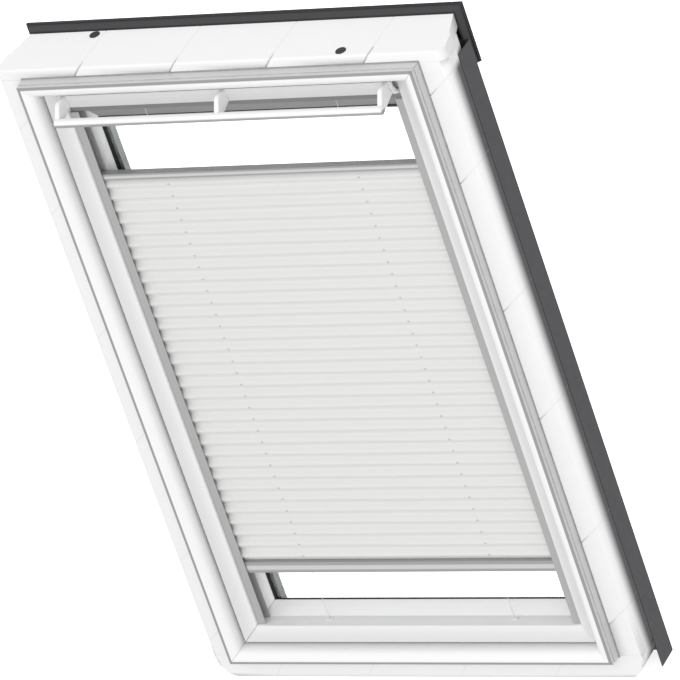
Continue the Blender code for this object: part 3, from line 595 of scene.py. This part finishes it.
def sash_lacquer(name, inner, depths, below=None):
    """Smooth white coat, with a second colour beyond a depth, or only where that is below a height:
    painted light in the sash's reveal, painted shadow on the head's inner face.
    """
    look = Look(name, SASH_WHITE)
    look.coat(LACQUER)
    look.clear_coat(*LACQUER_COAT)
    mask = look.between(look.window_place("Depth"), *depths)
    if below:
        low = look.inverse(look.between(look.window_place("Height"), *below))
        mask = look.maths("MULTIPLY", mask, low)
    # Painted light in the sash's reveal, or painted shadow on the head's inner face below the vent flap.
    look.fade(inner, mask)
    return look.finished()


def moulded_white(name, shadow_below=None):
    """Satin white of the control bar and its arms, with painted shade on the bar's lower part."""
    look = Look(name, BAR_WHITE)
    look.coat(MOULDED)
    if shadow_below:
        # Painted shade on the lower part of the bar.
        look.fade(look.shaded(BAR_SHADOW_SHARE), look.inverse(look.between(look.window_place("Height"), *shadow_below)))
    return look.finished()


def bead_foam():
    """White foam of pressed beads with faint cells, with painted shade toward the covers and in the score
    lines.
    """
    look = Look("bead_foam", FOAM_WHITE)
    look.coat(FOAM)
    # Painted shade on the collar's outer sides, darker toward the covers, but not up by the hood.
    cover_shadow = look.between(look.window_place("Depth"), *FOAM_SHADOW_DEPTHS, "LINEAR")
    near_hood = look.between(look.window_place("Height"), *FOAM_SHADOW_TOP)
    look.fade(FOAM_SHADOW, look.maths("MULTIPLY", cover_shadow, look.inverse(near_hood)))
    scored = look.node("ShaderNodeAttribute", attribute_name="scored").outputs["Fac"]
    # Painted shade in the score lines.
    look.fade(look.shaded(SCORE_SHADE), scored)
    cells = look.node("ShaderNodeTexVoronoi", feature="DISTANCE_TO_EDGE")
    cells.inputs["Scale"].default_value = CELL_SCALE
    look.link(look.places, cells.inputs["Vector"])
    look.bump(look.between(cells.outputs["Distance"], 0.0, CELL_WALL, "LINEAR"), *CELL_BUMP)
    return look.finished()


def dark_cover():
    """Dark grey painted sheet, with a fine speckle in the paint."""
    look = Look("dark_cover_paint", COVER_GREY, COVER_METAL)
    look.coat(COVER_PAINT)
    look.clear_coat(*COVER_COAT)
    return look.finished()


def plain(name, colour, finish, metallic=0.0):
    """Material with nothing but its finish, such as rubber, moulded plastic or plated steel."""
    look = Look(name, colour, metallic)
    look.coat(finish)
    return look.finished()


def drawn_stretch(along):
    """Stretch that draws a pattern out along an axis."""
    return tuple(DRAWN_STRETCH if axis == along else 1.0 for axis in "xyz")


def drawn_aluminium(name, colour, along):
    """Satin aluminium with faint lines along the way it was drawn."""
    look = Look(name, colour, ALU_METAL)
    look.coat(DRAWN, drawn_stretch(along))
    look.set("Anisotropic", ALU_BRUSHED)
    return look.finished()


def rail_aluminium(node):
    """Drawn aluminium of a rail, with painted shade along its edges and a painted highlight along its
    middle.
    """
    low, high = edge(node, 0, "z"), edge(node, 1, "z")
    look = Look(f"{node}_aluminium", RAIL_GREY, ALU_METAL)
    look.coat(DRAWN, drawn_stretch("x"))
    off_middle = look.maths("SUBTRACT", look.window_place("Height"), (low + high) / 2)
    bright, dull = [(high - low) * share for share in RAIL_HIGHLIGHT_BAND]
    # Painted highlight along the rail's middle, painted shade toward its edges.
    look.fade(RAIL_HIGHLIGHT, look.inverse(look.between(look.maths("ABSOLUTE", off_middle), bright, dull)))
    return look.finished()


def float_glass():
    """Clear glass with a hardly visible roll in its surface."""
    look = Look("float_glass", GLASS_TINT)
    look.set("Base Color", (*GLASS_TINT, 1.0))
    look.set("Roughness", 0.0)
    look.set("Transmission Weight", 1.0)
    look.set("IOR", GLASS_IOR)
    roll = look.node("ShaderNodeTexNoise")
    roll.inputs["Scale"].default_value = ROLL_SCALE
    look.link(look.places, roll.inputs["Vector"])
    look.bump(roll.outputs["Fac"], *ROLL_BUMP)
    return look.material


def cloth_masks(look, cloth):
    """Mask of the small holes for the cords in the front folds, and of the faces that look down, which
    get painted light.
    """
    parts = look.node("ShaderNodeSeparateXYZ")
    look.link(cloth, parts.inputs[0])
    off_middle = look.maths("SUBTRACT", parts.outputs["X"], CLOTH_WIDE / 2)
    off_cord = look.maths("SUBTRACT", look.maths("ABSOLUTE", off_middle), CORD_X)
    turns = look.maths("DIVIDE", parts.outputs["Y"], CLOTH_FOLD)
    off_fold = look.maths("SUBTRACT", look.maths("FRACT", turns), 0.5)
    across = look.maths("DIVIDE", off_cord, HOLE_WIDE)
    along = look.maths("MULTIPLY", off_fold, CLOTH_FOLD / HOLE_TALL)
    far = look.maths("ADD", look.maths("POWER", across, 2.0), look.maths("POWER", along, 2.0))
    wave = look.maths("SINE", look.maths("MULTIPLY", turns, math.tau))
    return look.inverse(look.between(far, *HOLE_EDGE)), look.between(wave, -1.0, 1.0, "LINEAR")


def pleated_weave():
    """Thin woven cloth: threads both ways on its own map, painted light on the pleats' lower faces, cord
    holes and a soft sheen.
    """
    look = Look("pleated_weave", CLOTH_WHITE)
    look.coat(WOVEN)
    threads = look.node("ShaderNodeUVMap", uv_map="weave").outputs["UV"]
    holes, lower_faces = cloth_masks(look, threads)
    # Painted light on the pleat faces that look down, for light coming through the cloth.
    look.fade(CLOTH_LIT, lower_faces)
    look.fade(CLOTH_HOLE, holes)
    for direction in ("X", "Y"):
        wave = look.node("ShaderNodeTexWave", bands_direction=direction)
        wave.inputs["Scale"].default_value = THREAD_SCALE
        wave.inputs["Distortion"].default_value = THREAD_WANDER
        look.link(threads, wave.inputs["Vector"])
        look.bump(wave.outputs["Fac"], *THREAD_BUMP)
    look.set("Sheen Weight", SHEEN)
    look.set("Sheen Roughness", SHEEN_ROUGH)
    return look.finished()


def braided_cord():
    """White braided cord."""
    look = Look("braided_cord", CORD_WHITE)
    look.coat(BRAIDED)
    braid = look.node("ShaderNodeTexWave", bands_direction="DIAGONAL")
    braid.inputs["Scale"].default_value = BRAID_SCALE
    look.link(look.places, braid.inputs["Vector"])
    look.bump(braid.outputs["Fac"], *BRAID_BUMP)
    return look.finished()


# Materials by the record's slots, then those of single kinds of piece
LOOKS = {
    # The sash's reveal is painted lighter, as painted light.
    "white_plastic": sash_lacquer("sash_lacquer", REVEAL_PAINTED_LIGHT, REVEAL_LIGHT_DEPTHS),
    "foam": bead_foam(),
    "black_plastic": plain("black_plastic", RUBBER_BLACK, RUBBER),
    "grey_plastic": plain("grey_plastic", PLASTIC_GREY, PLASTIC),
    "dark_metal": dark_cover(),
    "black_rubber": plain("black_rubber", RUBBER_BLACK, RUBBER),
    "glass": float_glass(),
    "spacer": drawn_aluminium("spacer_aluminium", SPACER_GREY, "x"),
    "white_aluminium": drawn_aluminium("channel_aluminium", ALU_GREY, "z"),
    "steel": plain("zinc_steel", ZINC, PLATED, 1.0),
    "cloth": pleated_weave(),
    "cord": braided_cord(),
}
FRAME_LOOK = frame_lacquer()
PIECE_LOOKS = {
    "frame_head": FRAME_LOOK,
    "frame_sill": FRAME_LOOK,
    "frame_jamb": FRAME_LOOK,
    # The sash head's inner face below the vent flap is painted dark grey, as painted shadow under the
    # flap and the bar.
    "sash_head": sash_lacquer("head_lacquer_painted_shadow", HEAD_PAINTED_SHADOW, HEAD_SHADOW_DEPTHS, HEAD_SHADOW_BELOW),
    "control_bar": moulded_white("bar_white_painted_shadow", BAR_SHADOW_HEIGHTS),
    "bar_bracket": moulded_white("arm_white"),
    "top_rail": rail_aluminium("top_rail"),
    "bottom_rail": rail_aluminium("bottom_rail"),
}
# Grey aluminium of the ledge strip, darker as painted shadow under the vent flap.
LEDGE_AND_SHADOW_LOOK = drawn_aluminium("ledge_aluminium_and_shadow", LEDGE_GREY_AND_SHADOW, "x")
# Grey of the strip in the frame's joint with the collar: painted shadow.
JOINT_SHADOW_LOOK = plain("joint_shadow_grey", JOINT_SHADOW_GREY, RUBBER)
# Grey of the strip in the lining groove: painted shade.
GROOVE_SHADE_LOOK = plain("groove_shade_grey", GROOVE_SHADE_GREY, RUBBER)


def entry_for(node, table):
    """Entry of a table whose name starts the node's name, if there is one."""
    return next((entry for start, entry in table.items() if node.startswith(start)), None)


def look_of(node):
    """Material of a node, by the kind of piece it is or else by its slot."""
    return entry_for(node, PIECE_LOOKS) or LOOKS[SLOTS[node]]


def piece(name, shape, look, body, smooth=SMOOTH_ANGLE):
    """Object of a finished bmesh, which rides on a body and takes its finish from a slot."""
    mesh = bpy.data.meshes.new(name)
    shape.to_mesh(mesh)
    shape.free()
    mesh.materials.append(look)
    mesh.shade_smooth()
    mesh.set_sharp_from_angle(angle=math.radians(smooth))
    made = bpy.data.objects.new(name, mesh)
    bpy.context.scene.collection.objects.link(made)
    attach(made, body)
    return made


def flatten_shading(made):
    """Shades large faces flat, and only the narrow ones between them round."""
    weighted = made.modifiers.new("flat_faces", "WEIGHTED_NORMAL")
    weighted.keep_sharp = True


def soften(made, width):
    """Rounds the sharp edges of a piece."""
    bevel = made.modifiers.new("rounded_edges", "BEVEL")
    bevel.width = width
    bevel.segments = BEVEL_SEGMENTS
    bevel.limit_method = "ANGLE"
    bevel.angle_limit = math.radians(BEVEL_ANGLE)
    flatten_shading(made)


def merged(node):
    """Copy of a node's mesh with its triangles joined into whole faces."""
    shape = bmesh.new()
    shape.from_mesh(NODES[node].data)
    bmesh.ops.remove_doubles(shape, verts=shape.verts, dist=MERGE)
    bmesh.ops.dissolve_limit(shape, angle_limit=math.radians(FLAT_ANGLE), verts=shape.verts,
                             edges=shape.edges)
    return shape


def refine(node, width):
    """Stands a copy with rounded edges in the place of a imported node."""
    made = piece(f"{node}_fine", merged(node), look_of(node), BODIES[node])
    soften(made, width)
    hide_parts(node)


def slice_at(shape, place, normal):
    """New edges where a plane meets the shape."""
    bmesh.ops.bisect_plane(shape, geom=shape.verts[:] + shape.edges[:] + shape.faces[:], dist=MERGE,
                           plane_co=place, plane_no=normal)


def scored_collar(node):
    """Copy of a collar piece with short slanting score lines, which start at the frame."""
    outward, start = COLLAR_SIDES[node]
    level = outward.z != 0.0
    turn = math.radians(SCORE_TURN)
    if level:
        along, middle, offsets = Vector((1.0, 0.0, 0.0)), 0.0, SCORES_ACROSS
        across = Vector((math.cos(turn), 0.0, -math.sin(turn)))
    else:
        along, middle, offsets = Vector((0.0, 0.0, 1.0)), MID_Z, SCORES_UP
        across = Vector((-math.sin(turn), 0.0, math.cos(turn)))
    shape = merged(node)
    scored = shape.verts.layers.float.new("scored")
    reach = start + (SCORE_REACH_HEAD if node == "collar_head" else SCORE_REACH)
    run = COLLAR_Y + SCORE_RUN
    slice_at(shape, outward * reach, outward)
    slice_at(shape, Vector((0.0, run, 0.0)), Vector((0.0, 1.0, 0.0)))
    for height in [middle + sign * offset for offset in offsets for sign in (-1, 1)]:
        place = outward * start + along * height
        for step in (-SCORE_WIDE / 2, 0.0, SCORE_WIDE / 2):
            slice_at(shape, place + across * step, across)
        shape.normal_update()
        line = [vert for vert in shape.verts if abs((vert.co - place).dot(across)) < MERGE * 2]
        for vert in line:
            near = vert.co.y < run - MERGE and vert.co.dot(outward) < reach - MERGE
            vert[scored] = 1.0 if near else SCORE_FAINT
        sunk = [vert.normal * SCORE_DEEP * vert[scored] for vert in line]
        for vert, depth in zip(line, sunk):
            vert.co -= depth
    made = piece(f"{node}_scored", shape, look_of(node), BODIES[node])
    flatten_shading(made)
    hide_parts(node)


def dress_all():
    """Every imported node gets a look, and the ones with sharp edges a finer copy."""
    for node in NODES:
        made = NODES[node]
        look = look_of(node)
        for slot in made.material_slots:
            slot.material = look
        if not made.material_slots:
            made.data.materials.append(look)
        width = entry_for(node, EDGE_WIDTHS)
        if node in COLLAR_SIDES:
            scored_collar(node)
        elif width:
            refine(node, width)


def frame_ring(name, shade_strip, look):
    """Mitred grey strip of one section round the frame, from a depth, thickness, inset and width; its
    grey is painted shade.
    """
    depth, thick, inset, wide = shade_strip
    half = Vector((FRAME_RIGHT - inset, 0.0, MID_Z - inset))
    shape = bmesh.new()
    bmesh.ops.create_grid(shape, x_segments=1, y_segments=1, size=1.0)
    for vert in shape.verts:
        vert.co = Vector((vert.co.x * half.x, ROOM_Y + depth, MID_Z + vert.co.y * half.z))
    shape.normal_update()
    inner = bmesh.ops.inset_region(shape, faces=shape.faces[:], thickness=wide, use_boundary=True,
                                   use_even_offset=True)
    middle = [face for face in shape.faces if face not in inner["faces"]]
    bmesh.ops.delete(shape, geom=middle, context="FACES")
    raised = bmesh.ops.extrude_face_region(shape, geom=shape.faces[:])
    moved = [item for item in raised["geom"] if isinstance(item, bmesh.types.BMVert)]
    bmesh.ops.translate(shape, verts=moved, vec=(0.0, thick, 0.0))
    bmesh.ops.recalc_face_normals(shape, faces=shape.faces)
    soften(piece(name, shape, look, "frame"), SHADE_STRIP_ROUND)


def shade_strips():
    """Grey strips in the joint between frame and collar and in the lining groove, as painted shade there.
    """
    frame_ring("collar_joint_shadow_strip", JOINT_SHADOW_STRIP, JOINT_SHADOW_LOOK)
    frame_ring("lining_groove_shade_strip", GROOVE_SHADE_STRIP, GROOVE_SHADE_LOOK)


def rubber_trim(name, points):
    """Round rubber trim along a line of points."""
    drawn = bpy.data.curves.new(name, "CURVE")
    drawn.dimensions = "3D"
    drawn.bevel_depth = TRIM_R
    drawn.bevel_resolution = TRIM_STEPS
    drawn.use_fill_caps = True
    line = drawn.splines.new("POLY")
    line.points.add(len(points) - 1)
    for point, place in zip(line.points, points):
        point.co = (*place, 1.0)
    drawn.materials.append(LOOKS["black_rubber"])
    made = bpy.data.objects.new(name, drawn)
    bpy.context.scene.collection.objects.link(made)
    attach(made, "frame")


def hood_trims():
    """Rubber trims along the lip and along the back edge of the hood."""
    low = HOOD_LOW[2] + TRIM_R
    lip = (HOOD_HIGH[0] - LIP_IN, HOOD_LOW[1] + TRIM_R, edge("collar_head", 1, "z"))
    back = [place - TRIM_R for place in HOOD_HIGH]
    for name, (x, y, z) in (("hood_lip_trim", lip), ("hood_edge_trim", back)):
        rubber_trim(name, ((-x, y, low), (-x, y, z), (x, y, z), (x, y, low)))


def screws(name, places, body):
    """Low domed screws with a round socket, heads toward the outside."""
    shape = bmesh.new()
    for place in places:
        turn = Matrix.Translation(place) @ Matrix.Rotation(-math.pi / 2, 4, "X")
        made = bmesh.ops.create_cone(shape, cap_ends=True, segments=SCREW_SIDES, radius1=SCREW_R,
                                     radius2=SCREW_R * SCREW_TOP, depth=SCREW_TALL, matrix=turn)
        top = max((face for vert in made["verts"] for face in vert.link_faces),
                  key=lambda face: face.calc_center_median().y)
        bmesh.ops.inset_region(shape, faces=[top], thickness=SCREW_R * SOCKET_RIM)
        pushed = bmesh.ops.extrude_face_region(shape, geom=[top])
        verts = [item for item in pushed["geom"] if isinstance(item, bmesh.types.BMVert)]
        bmesh.ops.translate(shape, verts=verts, vec=(0.0, -SCREW_TALL * SOCKET_DEEP, 0.0))
        bmesh.ops.delete(shape, geom=[top], context="FACES_ONLY")
    bmesh.ops.recalc_face_normals(shape, faces=shape.faces)
    piece(name, shape, LOOKS["steel"], body, SCREW_ANGLE)


def cover_screws():
    """Rows of screws down the covers of the frame and of the sash."""
    for side in ("left", "right"):
        for node in (f"side_cover_{side}", f"sash_cover_{side}"):
            low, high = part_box(node)
            middle = (low[0] + high[0]) / 2
            back = high[1] + SCREW_TALL / 2
            heights = [low[2] + (high[2] - low[2]) * share for share in SCREW_SHARES]
            screws(f"{node}_screws", [Vector((middle, back, height)) for height in heights], BODIES[node])


def ledge_strip():
    """Grey strip on the ledge of the sash head, below the vent flap; its dark grey is partly painted
    shadow under the flap.
    """
    depth, thick, inset, wide = LEDGE_STRIP
    size = Vector(((CHANNEL_RIGHT - LEDGE_END_GAP) * 2, thick, wide))
    middle = Vector((0.0, ROOM_Y + depth + thick / 2, FRAME_TOP - inset - wide / 2))
    place = Matrix.Translation(middle) @ Matrix.Diagonal((*size, 1.0))
    shape = bmesh.new()
    bmesh.ops.create_cube(shape, size=1.0, matrix=place)
    soften(piece("head_ledge_strip", shape, LEDGE_AND_SHADOW_LOOK, "sash"), LEDGE_ROUND)


def cloth_point(across, along):
    """Place on the pleated cloth, from shares of its width and of its pleated run."""
    turn = along * PLEATS * 2
    fold = abs((turn + 1.0) % 2.0 - 1.0)
    soft = 0.5 - 0.5 * math.cos(fold * math.pi)
    swing = fold + (soft - fold) * CLOTH_ROUND
    wander = WANDER * math.sin(turn * WANDER_UP + across * WANDER_ACROSS) * math.sin(across * math.pi)
    ease = min(1.0, along * PLEATS, (1.0 - along) * PLEATS)
    return Vector((
        CLOTH_LOW[0] + CLOTH_WIDE * across,
        CLOTH_LOW[1] + CLOTH_THICK + CLOTH_SWING * (1.0 - swing) + wander / 2,
        CLOTH_LOW[2] + CLOTH_TALL * along + wander * ease,
    ))


def pleated_cloth():
    """Pleated sheet between the rails, with soft folds and a slight wander in them."""
    shape = bmesh.new()
    bmesh.ops.create_grid(shape, x_segments=CLOTH_COLUMNS, y_segments=PLEATS * 2 * FOLD_ROWS, size=0.5)
    weave = shape.loops.layers.uv.new("weave")
    run = CLOTH_FOLD * PLEATS
    for face in shape.faces:
        for loop in face.loops:
            loop[weave].uv = ((loop.vert.co.x + 0.5) * CLOTH_WIDE, (loop.vert.co.y + 0.5) * run)
    for vert in shape.verts:
        vert.co = cloth_point(vert.co.x + 0.5, vert.co.y + 0.5)
    made = piece("pleated_cloth_sheet", shape, LOOKS["cloth"], "top_rail", CLOTH_ANGLE)
    solid = made.modifiers.new("cloth_thickness", "SOLIDIFY")
    solid.thickness = CLOTH_THICK
    solid.offset = 0.0
    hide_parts("pleated_cloth")
    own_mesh(made)


camera()
world_light()
key_lamp()
bpy.context.scene.view_settings.view_transform = "Standard"
floor()
dress_all()
shade_strips()
hood_trims()
cover_screws()
ledge_strip()
pleated_cloth()
